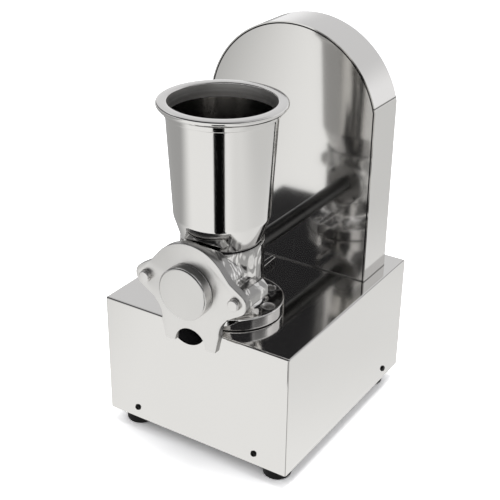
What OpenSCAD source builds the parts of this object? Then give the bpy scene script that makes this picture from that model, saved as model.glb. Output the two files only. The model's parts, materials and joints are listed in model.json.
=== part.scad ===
// Belt driven stainless steel wheatgrass juicer, in millimetres.
// The base box holds a motor. Two belts in the tall cover slow it down and turn the auger.
// +Z is up, the front panel faces -Y, and the feet stand on z = 0.

/* [Base box] */
// Width of the base box
base_w = 250; // [240:1:275]
// Depth of the base box, front panel to rear panel
base_d = 284; // [278:1:310]
// Height of the base box, without its feet
base_h = 154; // [152:1:180]
// Thickness of the sheet steel
sheet = 1.5; // [1:0.1:2]
// Outside radius of the sheet's bends
bend_r = 2.4; // [2.1:0.1:4]
// Thickness of the floor plate
floor_t = 2; // [1.5:0.1:3]
// Height of the floor plate's turned-up lips
lip_h = 25; // [22:1:32]
// Radius of the half-moon outlet in the front panel
outlet_r = 25; // [22:0.5:27]
// How far the outlet lies left of the middle
outlet_left = 7.5; // [4:0.5:10]

/* [Feet and panel screws] */
// Radius of a rubber foot
foot_r = 18.5; // [14:0.5:22]
// Height of a rubber foot
foot_h = 20; // [16:1:24]
// Distance of a foot's middle from the sides
foot_inset_x = 26; // [24:1:32]
// Distance of a foot's middle from the front and the rear
foot_inset_y = 26; // [24:1:32]
// Radius of a foot's fixing screw
foot_screw_r = 2.5; // [2:0.1:3]
// Radius of a panel screw's head
panel_head_r = 4; // [3:0.1:4.5]
// Radius of a panel screw's shank
panel_shank_r = 1.75; // [1.5:0.05:2.2]
// Height of the panel screws above the underside of the base
panel_screw_rise = 14.5; // [12:0.5:16]
// Distance of the panel screws from the box's corners
panel_screw_inset = 42.5; // [40:0.5:46]

/* [Belt cover] */
// Width of the belt cover
cover_w = 220; // [212:1:226]
// Depth of the belt cover
cover_d = 55; // [54:0.5:62]
// Height of the belt cover above the base top
cover_h = 300.5; // [296:0.5:320]
// Radius of the belt cover's round top
cover_arch_r = 113; // [112:0.5:116]
// Distance from the belt cover to the rear of the base
cover_rear_gap = 28.5; // [24:0.5:32]
// Width of the dark bead between the front sheet and the band
bead_w = 1.6; // [1.2:0.1:2]
// Width of the flange behind the front sheet
flange_w = 9; // [8:0.5:11]

/* [Barrel casting] */
// Distance of the auger's axis from the middle of the base, to the right
axis_x = 15.5; // [13:0.5:17]
// Height of the auger's axis above the base top
axis_rise = 64.5; // [63:0.5:70]
// Outer radius of the barrel
barrel_r = 45; // [44:0.5:47]
// Outer radius of the boss behind the neck
boss_r = 25.5; // [25:0.1:26]
// Radius of the chamber that holds the auger
chamber_r = 30; // [29:0.25:30.5]
// How far the barrel reaches in front of the base
barrel_reach = 17; // [15:0.5:18]
// Place of the rear end of the chamber that holds the auger
chamber_end_y = 45; // [44:0.5:46]
// Place of the rear end of the boss behind the neck
boss_end_y = 80; // [79:0.5:84]
// Place of the rear end of the rib behind the column
rib_end_y = 146; // [135:1:150]
// Thickness of the rib behind the column, at its end
rib_t = 5; // [4:0.5:8]
// Height of the rib behind the column
rib_h = 15.5; // [12:0.5:18]
// Radius of the front flange
flange_r = 50; // [49:0.5:52]
// Thickness of the front flange
flange_t = 12; // [10:0.5:14]
// Distance of the lugs from the axis
lug_x = 57.6; // [56:0.2:60]
// Radius across the corners of a lug
lug_r = 13; // [12:0.5:14]
// Length of a lug
lug_len = 37; // [32:1:40]
// Outer radius of the neck
neck_r = 46.5; // [46:0.5:48]
// Height of the neck's top above the base top
neck_rise = 103; // [100:0.5:112]
// How far the neck's straight side reaches below the axis
neck_drop = 20; // [18:0.5:22]
// Place of the neck's and the hopper's middle
neck_y = 35.5; // [34:0.5:37]
// Radius of the bore down the neck
neck_bore_r = 29.5; // [28:0.25:30]
// Place of the round foot's middle
pedestal_y = 64; // [62:0.5:66]
// Radius of the round foot
pedestal_r = 55; // [54:0.5:58]
// Thickness of the round foot
pedestal_t = 15.5; // [14:0.5:16.5]
// Radius of the column above the round foot
column_r = 30; // [28:0.5:32]
// Radius of the juice drain
drain_r = 10; // [8:0.5:11]
// Radius of the circle of foot bolts
pedestal_bolt_circle_r = 43.5; // [42:0.5:45]
// Number of foot bolts
pedestal_bolts_n = 6; // [4:1:6]
// Radius of a foot bolt's counterbore
counterbore_r = 6.8; // [6.6:0.1:7.2]
// Radius of a foot bolt's shank
pedestal_bolt_r = 3.9; // [3.5:0.1:4]

/* [Hopper] */
// Height of the hopper's rim above the base top
hopper_rise = 258; // [250:1:280]
// Outer radius of the rim
rim_r = 69; // [67:0.5:71]
// Thickness of the rim's edge
rim_t = 7; // [6:0.5:8]
// Radius of the hopper's mouth
mouth_r = 57.5; // [56.5:0.5:58]
// Outer radius of the hopper's body under the rim
hopper_top_r = 59.5; // [59.5:0.5:61]
// Outer radius of the hopper's body above the cone
hopper_low_r = 53; // [52:0.5:54]
// Height of the cone
cone_h = 27; // [24:0.5:30]
// Radius of the cone's lower edge
cone_low_r = 44.5; // [43.5:0.5:45]
// Wall of the hopper
hopper_wall = 2.2; // [2:0.1:3]
// Depth of the collar under the rim
collar_h = 14; // [12:0.5:16]

/* [Front plate] */
// Radius of the front plate's disc
plate_r = 52.4; // [51.5:0.1:54]
// Thickness of the front plate
plate_t = 9; // [8:0.5:10]
// Radius of the ears' ends
ear_r = 14; // [13:0.5:15]
// How far the prongs reach below the axis
prong_drop = 69; // [67:0.5:70]
// Half of the width over the prongs
prong_half_w = 32.5; // [31:0.5:35]
// Radius of the notch between the prongs
notch_r = 20; // [18:0.5:21]
// Radius of the front cap
cap_r = 30.4; // [29:0.2:32]
// Length of the front cap
cap_len = 14.5; // [13:0.5:16]
// Radius of the plate's hub, under the cap
hub_r = 22; // [20:0.5:23]
// Radius of a locating pin
pin_r = 6.5; // [6:0.1:7]
// How far a locating pin stands out of the front plate
pin_proud = 5; // [4:0.5:6]

/* [Auger and shaft] */
// Outer radius of the auger's flight
auger_r = 26.5; // [26:0.1:27]
// Radius of the auger's core
auger_core_r = 13; // [12.5:0.25:14]
// Pitch of the auger's flight
auger_pitch = 25; // [22:0.5:28]
// Thickness of the auger's flight
flight_t = 6; // [5:0.5:8]
// Radius of the auger's front journal
journal_r = 9; // [8:0.1:10]
// Radius of the drive shaft
shaft_r = 8; // [7.5:0.1:8.2]
// Outer radius of the shaft bearings
bearing_r = 21; // [20:0.5:21.5]
// Width of the shaft bearings
bearing_w = 13; // [12:0.5:13.5]
// Outer radius of the sleeve around the shaft
sleeve_r = 9.8; // [9.6:0.1:11]
// Outer radius of the juice screen
screen_r = 29.7; // [29.2:0.1:29.8]
// Thickness of the juice screen
screen_t = 1.5; // [1.2:0.1:1.7]

/* [Belt drive] */
// Height of the countershaft above the base top
counter_rise = 187; // [185:0.5:190]
// Radius of the countershaft
counter_shaft_r = 8; // [7.5:0.1:8.5]
// Belt seat radius of the motor's pulley
motor_pulley_r = 26; // [24:0.5:28]
// Belt seat radius of the countershaft's large pulley
counter_large_r = 86; // [84:0.5:88]
// Belt seat radius of the countershaft's small pulley
counter_small_r = 22; // [20:0.5:23]
// Belt seat radius of the auger shaft's pulley
driven_pulley_r = 50; // [48:0.5:52]
// Width of the pulleys
pulley_w = 14; // [13:0.5:14.5]
// Height of the belts' section
belt_h = 6; // [5:0.5:7]
// Width of the belts' back
belt_w = 9; // [8:0.5:9.5]

/* [Motor] */
// Radius of the motor's shell
motor_r = 53; // [50:0.5:54]
// Length of the motor's shell
motor_len = 92; // [86:1:100]
// Length of each motor end bell
bell_len = 22; // [20:0.5:24]
// Distance from the motor's rear end to the belt that it drives
motor_belt_gap = 45; // [41:0.5:49]
// Radius of the motor's shaft
motor_shaft_r = 7; // [6.5:0.1:7.5]

/* [Electrical parts] */
// Width of the power inlet's flange
inlet_w = 31; // [29:0.5:33]
// Height of the power inlet's flange
inlet_h = 25; // [23:0.5:26]
// Width of the socket in the power inlet
socket_w = 24; // [23:0.5:25]
// Height of the socket in the power inlet
socket_h = 16.5; // [15.5:0.5:17]
// Width of the switch's frame
switch_w = 22; // [20:0.5:24]
// Height of the switch's frame
switch_h = 31; // [29:0.5:33]
// Travel of the switch's rocker in degrees
rocker_travel = 20; // [16:1:22]

/* [Hidden] */
$fn = 72;

// Clearances
overrun = 1;        // how far a cut runs past a face
run_play = 0.05;    // radial play of what turns or slides
seat_play = 0.05;   // radial play of what is pressed or screwed in place
screw_play = 0.2;   // radial play of a screw in its hole
belt_play = 0.35;   // gap between a belt and its groove
soft_gap = 0.3;     // gap beside a soft piece on another body

// Base and cover, worked out
under_z = foot_h;
top_z = under_z + base_h;
inner_top_z = top_z - sheet;
cover_front_y = base_d - cover_rear_gap - cover_d;
cover_back_y = cover_front_y + cover_d;
cover_arch_z = top_z + cover_h - cover_arch_r;
panel_head_h = panel_head_r * 0.5;
panel_screw_len = 6;
panel_side_y = base_d - panel_screw_inset;
panel_front_x = base_w * 0.5 - panel_screw_inset;
floor_gap = 0.2;
vent_w = 4;
vent_h = 40;
vent_pitch = base_w * 0.032;
vents_n = 6;
vent_group_x = [0, base_w * 0.2];
cover_screw_step = 60;
cover_screw_len = 5;

// Barrel, worked out
gasket_t = 1;
axis_z = top_z + axis_rise;
pedestal_z = top_z + pedestal_t;
neck_z = top_z + neck_rise;
barrel_front_y = -barrel_reach;
barrel_end_y = chamber_end_y + 3 * gasket_t;
plate_back_y = barrel_front_y - gasket_t;
plate_front_y = plate_back_y - plate_t;
cap_front_y = plate_front_y - cap_len;
lug_end_y = barrel_front_y + lug_len;
pin_end_y = lug_end_y - lug_r;
seal_t = 6;
seal_r = 14;
front_bearing_y = chamber_end_y + seal_t + 3 * gasket_t;
rib_z = pedestal_z + gasket_t;
spigot_len = 5;
drain_wall = 3;
drain_y = chamber_end_y - drain_r - 2 * gasket_t;
gutter_h = 3;
gutter_z = axis_z - chamber_r - gutter_h;
gutter_half_w = drain_r * 0.7;
bolt_len = 20;
bolt_head_h = 7.5;
washer_t = 1.5;
nut_h = 6.5;
counterbore_z = pedestal_z - 9;
pulp_slot_half_w = 11;
pulp_slot_len = 9;

// Hopper, worked out
rim_z = top_z + hopper_rise;
cone_z = neck_z + gasket_t;
hopper_spigot_wall = 4;
hopper_spigot_r = neck_bore_r + hopper_spigot_wall;
hopper_spigot_len = 6;
hopper_clear_r = (cone_low_r + hopper_low_r) * 0.5;
spigot_seat_z = neck_z - hopper_spigot_len - gasket_t;
lip_edge_r = 3.4;

// Auger, shaft and bearings, worked out
auger_front_y = plate_back_y + 3 * gasket_t;
auger_end_y = chamber_end_y - gasket_t;
journal_len = 14;
bush_wall = 4;
tang_r = auger_core_r - 3 * gasket_t;
tang_len = 16;
drive_pin_r = 2.5;
drive_pin_y = auger_end_y - tang_len * 0.5;
sleeve_t = 1.2;
cap_t = 3;
cap_screw_r = 1.25;
ball_r = bearing_w * 0.27;
race_mid_r = (bearing_r + shaft_r) * 0.5;
race_gap_r = ball_r * 0.55;
balls_n = 8;

// Belt drive, worked out
counter_z = top_z + counter_rise;
pulley_gap = 3;
front_plane_y = cover_front_y + sheet + pulley_gap + pulley_w * 0.5;
rear_bearing_y = front_plane_y + pulley_w * 0.5 + gasket_t;
bearing_lip = 2;
bearing_plate_t = 5;
bearing_plate_back_y = rear_bearing_y + bearing_w + bearing_lip;
rear_plane_y = bearing_plate_back_y + gasket_t + pulley_w * 0.5;
shaft_end_y = bearing_plate_back_y;
counter_bearing_r = 18;
counter_mid_r = (counter_bearing_r + counter_shaft_r) * 0.5;
carrier_wall = 5;
groove_land = (pulley_w - belt_w) * 0.5;
groove_floor_w = belt_w * 0.62;
belt_joint = belt_play * 0.5;
plate_half_w = cover_w * 0.5 - flange_w - 2 * sheet;
plate_foot_w = 36;
plate_foot_d = 15;
key_w = 5;
belt_slot_half_w = 58;
foot_bolt_r = 2.9;

// Motor, worked out
motor_gap = 7;
motor_z = under_z + floor_t + motor_r + motor_gap;
motor_end_y = rear_plane_y - motor_belt_gap;
motor_y = motor_end_y - 2 * bell_len - motor_len;
air_gap = 0.8;
stator_r = motor_r * 0.62;
bell_r = motor_r * 0.97;
bell_wall = 3;
cradle_t = 3;
cradle_half_w = 45;
cradle_bolt_r = 3;

// Electrical parts, worked out
capacitor_r = 17;
capacitor_len = 66;
inlet_x = -base_w * 0.312;
inlet_rise = 46;
inlet_rim = 2;
inlet_body_w = inlet_w - 2 * inlet_rim;
inlet_body_h = inlet_h - 2 * inlet_rim;
inlet_depth = 20;
inlet_proud = panel_head_h;
inlet_pin_w = 2;
inlet_pin_h = 4;
inlet_pin_place_shares = [[-0.29, -0.1], [0, 0.14], [0.29, -0.1]];
switch_x = -base_w * 0.136;
switch_rim = 1.5;
switch_body_w = switch_w - 2 * switch_rim;
switch_body_h = switch_h - 2 * switch_rim;
switch_depth = 18;
switch_wall = 2;
rocker_pin_r = 1.5;
rocker_lift = panel_head_h + sheet;
rocker_half_h = switch_body_h * 0.5 - switch_wall - 3 * soft_gap;
rocker_reach = rocker_lift * cos(rocker_travel * 0.5) + rocker_half_h * 0.9 * sin(rocker_travel * 0.5);
rear_reach = base_d + max(panel_head_h, rocker_reach - sheet - rocker_pin_r);

module seat() {
  translate([0, -(rear_reach + cap_front_y) * 0.5, 0]) children();
}

// A round bar along Y, from y1 to y2
module bar_y(y1, y2, r, x = axis_x, z = axis_z) {
  translate([x, y1, z]) rotate([-90, 0, 0]) cylinder(h = y2 - y1, r = r);
}

// A round bar along Z, from z1 to z2
module bar_z(z1, z2, r, x, y) {
  translate([x, y, z1]) cylinder(h = z2 - z1, r = r);
}

// A drill of radius r from z = 0 to h, which runs past both faces
module drill(h, r) {
  translate([0, 0, -overrun]) cylinder(h = h + 2 * overrun, r = r);
}

// A ring along Y
module ring_y(y1, y2, outer, inner, x = axis_x, z = axis_z) {
  difference() {
    bar_y(y1, y2, outer, x, z);
    bar_y(y1 - overrun, y2 + overrun, inner, x, z);
  }
}

// A box from one corner to the opposite one
module block(low, high) {
  translate(low) cube(high - low);
}

// An outline drawn in X and Z, y_back at its rear and t thick
module upright(y_back, t) {
  translate([0, y_back, 0]) rotate([90, 0, 0]) linear_extrude(t) children();
}

// A screw along +Z, its head's underside at z = 0 and its shank below
module pan_screw(head_r, head_h, shank_r, len) {
  slot_w = head_r * 0.28;
  difference() {
    union() {
      cylinder(h = head_h, r1 = head_r, r2 = head_r * 0.75);
      translate([0, 0, -len]) cylinder(h = len + head_h * 0.5, r = shank_r);
    }
    for (turn = [0, 90])
      rotate([0, 0, turn])
        translate([-head_r * 0.6, -slot_w * 0.5, head_h * 0.5])
          cube([head_r * 1.2, slot_w, head_h]);
  }
}

// A socket head screw along +Z, its head's underside at z = 0
module socket_screw(head_r, head_h, shank_r, len) {
  difference() {
    union() {
      cylinder(h = head_h, r = head_r);
      translate([0, 0, -len]) cylinder(h = len + head_h * 0.5, r = shank_r);
    }
    translate([0, 0, head_h * 0.45]) cylinder(h = head_h, r = head_r * 0.55, $fn = 6);
  }
}

// A hexagon nut on z = 0 for a screw of radius screw_r
module nut_for(screw_r, h) {
  difference() {
    cylinder(h = h, r = screw_r * 1.8, $fn = 6);
    drill(h, screw_r + seat_play);
  }
}

module at_panel_screws() {
  z = under_z + panel_screw_rise;
  for (side = [-1, 1]) {
    translate([side * panel_front_x, 0, z]) rotate([90, 0, 0]) children();
    translate([side * panel_front_x, base_d, z]) rotate([-90, 0, 0]) children();
    translate([side * base_w * 0.5, panel_side_y, z]) rotate([0, side * 90, 0]) children();
  }
}

module at_feet() {
  for (side = [-1, 1])
    for (y = [foot_inset_y, base_d - foot_inset_y])
      translate([side * (base_w * 0.5 - foot_inset_x), y, 0]) children();
}

module at_pedestal_bolts() {
  for (i = [0 : pedestal_bolts_n - 1])
    translate([axis_x, pedestal_y, 0])
      rotate([0, 0, i * 360 / pedestal_bolts_n])
        translate([pedestal_bolt_circle_r, 0, 0]) children();
}

module at_bearing_plate_feet() {
  foot_x = plate_half_w - plate_foot_w * 0.5;
  for (x = [-foot_x, foot_x])
    translate([x, bearing_plate_back_y + plate_foot_d * 0.5, 0]) children();
}

// Base box

module base_shell() {
  half = base_w * 0.5;
  color("gainsboro")
  difference() {
    hull() {
      for (x = [-half + bend_r, half - bend_r]) {
        for (y = [bend_r, base_d - bend_r])
          translate([x, y, top_z - bend_r]) sphere(r = bend_r, $fn = 24);
        translate([x, bend_r, under_z]) cylinder(h = bend_r, r = bend_r, $fn = 24);
      }
      block([-half, base_d - bend_r, under_z], [half, base_d, under_z + bend_r]);
      block([-half, base_d - bend_r, top_z - bend_r], [half, base_d, top_z - sheet]);
    }
    block([-half + sheet, sheet, under_z - overrun], [half - sheet, base_d + overrun, inner_top_z]);
    bar_y(-overrun, sheet + overrun, outlet_r, -outlet_left, top_z);
    bar_z(inner_top_z - overrun, top_z + overrun, drain_r + drain_wall + screw_play, axis_x, drain_y);
    at_pedestal_bolts()
      translate([0, 0, inner_top_z]) drill(sheet, pedestal_bolt_r + screw_play);
    block([-belt_slot_half_w, bearing_plate_back_y, inner_top_z - overrun],
          [belt_slot_half_w, rear_plane_y + pulley_w * 0.5, top_z + overrun]);
    at_bearing_plate_feet()
      translate([0, 0, inner_top_z]) drill(sheet, foot_bolt_r + screw_play);
    at_panel_screws()
      translate([0, 0, -sheet]) drill(sheet, panel_shank_r + screw_play);
  }
}

module base_floor() {
  half = base_w * 0.5 - sheet - floor_gap;
  front = sheet + floor_gap;
  back = base_d - sheet - floor_gap;
  color("silver")
  difference() {
    union() {
      block([-half, front, under_z], [half, back, under_z + floor_t]);
      for (side = [-1, 1])
        translate([side * (half - sheet * 0.5), base_d * 0.5, under_z + lip_h * 0.5])
          cube([sheet, base_d - 4 * foot_r, lip_h], center = true);
      for (y = [front, back - sheet])
        block([-half + 2 * bend_r, y, under_z], [half - 2 * bend_r, y + sheet, under_z + lip_h]);
    }
    at_panel_screws()
      translate([0, 0, -4 * sheet]) cylinder(h = 4 * sheet + overrun, r = panel_shank_r + screw_play);
    at_feet()
      translate([0, 0, under_z]) drill(floor_t, foot_screw_r + screw_play);
    cradle_bolt_holes();
  }
}

module rear_panel() {
  half = base_w * 0.5 - sheet - floor_gap;
  color("gainsboro")
  difference() {
    union() {
      block([-half, base_d - sheet, under_z], [half, base_d, inner_top_z - floor_gap]);
      block([-half, base_d - sheet - flange_w, inner_top_z - floor_gap - sheet],
            [half, base_d - sheet * 0.5, inner_top_z - floor_gap]);
    }
    at_panel_screws()
      translate([0, 0, -sheet]) drill(sheet, panel_shank_r + screw_play);
    at_inlet()
      translate([-inlet_body_w * 0.5 - seat_play, -overrun, -inlet_body_h * 0.5 - seat_play])
        cube([inlet_body_w + 2 * seat_play, sheet + 2 * overrun, inlet_body_h + 2 * seat_play]);
    at_switch()
      translate([-switch_body_w * 0.5 - seat_play, -overrun, -switch_body_h * 0.5 - seat_play])
        cube([switch_body_w + 2 * seat_play, sheet + 2 * overrun, switch_body_h + 2 * seat_play]);
    for (group_x = vent_group_x)
      for (i = [0 : vents_n - 1])
        translate([group_x + i * vent_pitch, base_d - sheet, under_z + base_h * 0.5]) vent_slot();
  }
}

module vent_slot() {
  upright(sheet + overrun, sheet + 2 * overrun) {
    square([vent_w, vent_h], center = true);
    for (end = [-1, 1])
      translate([0, end * vent_h * 0.5]) circle(r = vent_w * 0.5);
  }
}

module rubber_feet() {
  bore = foot_screw_r + screw_play;
  head_room = foot_screw_r * 2 + screw_play;
  color("black")
  at_feet()
    rotate_extrude()
      difference() {
        polygon([
          [bore, 0], [foot_r * 0.84, 0], [foot_r * 0.9, foot_h * 0.06],
          [foot_r, foot_h * 0.8], [foot_r, foot_h], [bore, foot_h]
        ]);
        translate([0, -overrun]) square([head_room, foot_h * 0.45 + overrun]);
      }
}

module foot_screws() {
  color("dimgray")
  at_feet() {
    translate([0, 0, foot_h * 0.45]) mirror([0, 0, 1])
      pan_screw(foot_screw_r * 2, foot_screw_r, foot_screw_r, foot_h * 0.55 + floor_t + nut_h);
    translate([0, 0, under_z + floor_t]) nut_for(foot_screw_r, foot_screw_r * 1.6);
  }
}

module panel_screws() {
  color("dimgray")
  at_panel_screws() pan_screw(panel_head_r, panel_head_h, panel_shank_r, panel_screw_len);
}

// Belt cover

// Outline of the belt cover in X and Z, drawn in by inset
module cover_outline(inset) {
  half = cover_w * 0.5 - inset;
  arch_r = cover_arch_r - inset;
  intersection() {
    translate([-half, top_z]) square([2 * half, cover_h]);
    union() {
      translate([-half, top_z]) square([2 * half, cover_arch_z - top_z]);
      translate([0, cover_arch_z]) circle(r = arch_r, $fn = 144);
    }
  }
}

module belt_cover_front() {
  color("whitesmoke")
  difference() {
    upright(cover_front_y + sheet, sheet) cover_outline(sheet + bead_w);
    bar_y(cover_front_y - overrun, cover_front_y + sheet + overrun, sleeve_r + screw_play);
  }
}

module belt_cover_bead() {
  color("black")
  upright(cover_front_y + sheet, sheet * 0.8)
    difference() {
      cover_outline(sheet);
      cover_outline(sheet + bead_w);
    }
}

module belt_cover_band() {
  color("gainsboro")
  difference() {
    union() {
      upright(cover_back_y, cover_d)
        difference() {
          cover_outline(0);
          cover_outline(sheet);
        }
      for (y = [cover_front_y + 2 * sheet, cover_back_y - sheet])
        upright(y, sheet)
          difference() {
            cover_outline(sheet * 0.5);
            cover_outline(sheet + flange_w);
          }
    }
    at_cover_screws()
      translate([0, 0, -2 * sheet]) drill(sheet, panel_shank_r + screw_play);
  }
}

module belt_cover_back() {
  color("gainsboro")
  difference() {
    upright(cover_back_y, sheet) cover_outline(sheet + floor_gap);
    at_cover_screws()
      translate([0, 0, -sheet]) drill(sheet, panel_shank_r + screw_play);
  }
}

module at_cover_screws() {
  inset = sheet + flange_w * 0.5;
  for (side = [-1, 1])
    for (z = [top_z + cover_screw_step * 0.5, top_z + cover_screw_step * 2])
      translate([side * (cover_w * 0.5 - inset), cover_back_y, z]) rotate([-90, 0, 0]) children();
  for (turn = [-50, 0, 50])
    translate([0, cover_back_y, cover_arch_z])
      rotate([0, turn, 0]) translate([0, 0, cover_arch_r - inset]) rotate([-90, 0, 0]) children();
}

module cover_screws() {
  color("silver")
  at_cover_screws() pan_screw(panel_head_r, panel_head_h, panel_shank_r, cover_screw_len);
}

// Barrel casting

module barrel() {
  color("lightgray")
  difference() {
    union() {
      bar_y(barrel_front_y, barrel_front_y + flange_t, flange_r);
      bar_y(barrel_front_y, barrel_end_y, barrel_r);
      bar_y(chamber_end_y, boss_end_y, boss_r);
      translate([axis_x, neck_y, 0]) rotate_extrude() neck_profile();
      barrel_lugs();
      rear_rib();
      translate([axis_x, pedestal_y, pedestal_z - overrun]) rotate_extrude() column_profile();
      bar_z(top_z + gasket_t, pedestal_z, pedestal_r, axis_x, pedestal_y);
      bar_z(top_z - spigot_len, gutter_z, drain_r + drain_wall, axis_x, drain_y);
    }
    bar_y(barrel_front_y - overrun, chamber_end_y, chamber_r);
    bar_y(chamber_end_y - overrun, chamber_end_y + seal_t, seal_r);
    bar_y(chamber_end_y, front_bearing_y + overrun, shaft_r + sleeve_t);
    bar_y(front_bearing_y, boss_end_y + overrun, bearing_r);
    bar_y(boss_end_y, pedestal_y + 2 * column_r, boss_r + gasket_t);
    neck_throat();
    bar_z(neck_z, neck_z + barrel_r, hopper_clear_r, axis_x, neck_y);
    bar_z(spigot_seat_z, neck_z + overrun, hopper_spigot_r + run_play, axis_x, neck_y);
    bar_z(top_z - spigot_len - overrun, gutter_z + 2 * gutter_h, drain_r, axis_x, drain_y);
    block([axis_x - gutter_half_w, barrel_front_y + flange_t, gutter_z],
          [axis_x + gutter_half_w, drain_y, gutter_z + 2 * gutter_h]);
    at_pedestal_bolts() {
      translate([0, 0, counterbore_z]) cylinder(h = pedestal_t, r = counterbore_r);
      translate([0, 0, top_z]) cylinder(h = pedestal_t, r = pedestal_bolt_r + screw_play);
    }
    for (side = [-1, 1])
      bar_y(barrel_front_y - overrun, pin_end_y, pin_r + seat_play, axis_x + side * lug_x);
    at_bearing_cap_screws()
      translate([0, 0, -4 * cap_t]) cylinder(h = 4 * cap_t + overrun, r = cap_screw_r + screw_play);
    block([axis_x - pulp_slot_half_w, barrel_front_y - overrun, axis_z - flange_r - overrun],
          [axis_x + pulp_slot_half_w, barrel_front_y + pulp_slot_len, axis_z]);
  }
}

// Lugs beside the barrel, which the locating pins are pressed into
module barrel_lugs() {
  web_half_h = lug_r * 0.8;
  for (side = [-1, 1])
    translate([axis_x + side * lug_x, barrel_front_y, axis_z])
      rotate([-90, 0, 0]) rotate([0, 0, 22.5]) cylinder(h = lug_len, r = lug_r, $fn = 8);
  block([axis_x - lug_x, barrel_front_y, axis_z - web_half_h],
        [axis_x + lug_x, lug_end_y - 3 * gasket_t, axis_z + web_half_h]);
}

// Upright rib that runs back from the column, thicker at its root
module rear_rib() {
  root_half_t = rib_t * 1.6;
  translate([axis_x, 0, rib_z])
    linear_extrude(rib_h)
      polygon([
        [-root_half_t, pedestal_y], [root_half_t, pedestal_y],
        [rib_t * 0.5, rib_end_y], [-rib_t * 0.5, rib_end_y]
      ]);
}

// Half section of the neck, round at its lower end
module neck_profile() {
  low = axis_z - neck_drop;
  round_r = neck_drop;
  translate([0, low]) square([neck_r, neck_z - low]);
  translate([0, low - round_r]) square([neck_r - round_r, round_r + overrun]);
  translate([neck_r - round_r, low]) circle(r = round_r);
}

// The way down the neck, with a slope over the front bearing
module neck_throat() {
  slope = 42;
  start_z = axis_z + bearing_r * 0.8;
  difference() {
    bar_z(axis_z, neck_z + overrun, neck_bore_r, axis_x, neck_y);
    translate([axis_x - neck_bore_r - overrun, chamber_end_y, start_z])
      rotate([slope, 0, 0]) translate([0, 0, -4 * bearing_r])
        cube([2 * (neck_bore_r + overrun), 4 * bearing_r, 4 * bearing_r]);
    block([axis_x - neck_r, chamber_end_y, axis_z - overrun],
          [axis_x + neck_r, chamber_end_y + neck_r, start_z]);
  }
}

// Section of the flared column, in radius and height over the round foot
module column_profile() {
  flare = pedestal_t * 0.6;
  height = axis_rise - pedestal_t;
  difference() {
    square([column_r + flare, height]);
    translate([column_r + flare, flare + overrun]) circle(r = flare);
    translate([column_r, flare + overrun]) square([2 * flare, height]);
  }
}

module pedestal_gasket() {
  color("black")
  difference() {
    bar_z(top_z, top_z + gasket_t, pedestal_r - gasket_t * 0.5, axis_x, pedestal_y);
    bar_z(top_z - overrun, top_z + 2 * gasket_t, drain_r + drain_wall + screw_play, axis_x, drain_y);
    at_pedestal_bolts() translate([0, 0, top_z]) drill(gasket_t, pedestal_bolt_r + screw_play);
  }
}

module pedestal_bolts() {
  color("silver")
  at_pedestal_bolts()
    translate([0, 0, counterbore_z])
      socket_screw(counterbore_r - screw_play, bolt_head_h, pedestal_bolt_r, bolt_len);
}

module pedestal_nuts() {
  color("silver")
  at_pedestal_bolts() {
    translate([0, 0, inner_top_z - washer_t])
      difference() {
        cylinder(h = washer_t, r = pedestal_bolt_r * 1.9);
        drill(washer_t, pedestal_bolt_r + seat_play);
      }
    translate([0, 0, inner_top_z - washer_t - nut_h]) nut_for(pedestal_bolt_r, nut_h);
  }
}

// Hopper

module hopper() {
  body_z = cone_z + cone_h;
  color("gainsboro")
  translate([axis_x, neck_y, 0])
    rotate_extrude($fn = 96)
      difference() {
        union() {
          polygon([
            [0, cone_z - hopper_spigot_len], [hopper_spigot_r, cone_z - hopper_spigot_len],
            [hopper_spigot_r, cone_z], [cone_low_r, cone_z], [hopper_low_r, body_z],
            [hopper_top_r, rim_z - collar_h], [hopper_top_r, rim_z], [0, rim_z]
          ]);
          translate([0, rim_z - rim_t]) square([rim_r - lip_edge_r, rim_t]);
          translate([0, rim_z - rim_t + lip_edge_r]) square([rim_r, rim_t - 2 * lip_edge_r]);
          for (z = [rim_z - lip_edge_r, rim_z - rim_t + lip_edge_r])
            translate([rim_r - lip_edge_r, z]) circle(r = lip_edge_r, $fn = 32);
          translate([0, rim_z - collar_h]) square([hopper_top_r + hopper_wall, collar_h - rim_t * 0.5]);
        }
        polygon([
          [0, cone_z - hopper_spigot_len - overrun], [neck_bore_r, cone_z - hopper_spigot_len - overrun],
          [neck_bore_r, cone_z], [cone_low_r - 2 * hopper_wall, cone_z + hopper_wall],
          [hopper_low_r - hopper_wall, body_z], [mouth_r, rim_z - collar_h],
          [mouth_r, rim_z + overrun], [0, rim_z + overrun]
        ]);
      }
}

module hopper_seal() {
  color("black")
  translate([axis_x, neck_y, neck_z])
    difference() {
      cylinder(h = gasket_t, r = cone_low_r - gasket_t * 0.5);
      drill(gasket_t, hopper_spigot_r + soft_gap);
    }
}

// Front plate and cap

// Outline of the front plate around the axis, in X and Z
module plate_outline() {
  blend_r = prong_half_w * 0.82;
  difference() {
    union() {
      circle(r = plate_r, $fn = 96);
      for (side = [-1, 1]) {
        translate([side * lug_x, 0]) circle(r = ear_r);
        polygon([
          [0, plate_r * 0.6], [side * plate_r * 0.8, plate_r * 0.6], [side * plate_r * 0.97, plate_r * 0.4],
          [side * (lug_x + ear_r * 0.5), ear_r * 0.866],
          [side * (lug_x + ear_r * 0.5), -ear_r * 0.866], [side * plate_r * 0.8, -plate_r * 0.5],
          [side * prong_half_w, -prong_drop], [0, -prong_drop]
        ]);
      }
    }
    for (side = [-1, 1])
      translate([side * (prong_half_w + blend_r * 1.18), -prong_drop * 0.65]) circle(r = blend_r);
    translate([0, -prong_drop]) circle(r = notch_r);
  }
}

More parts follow.
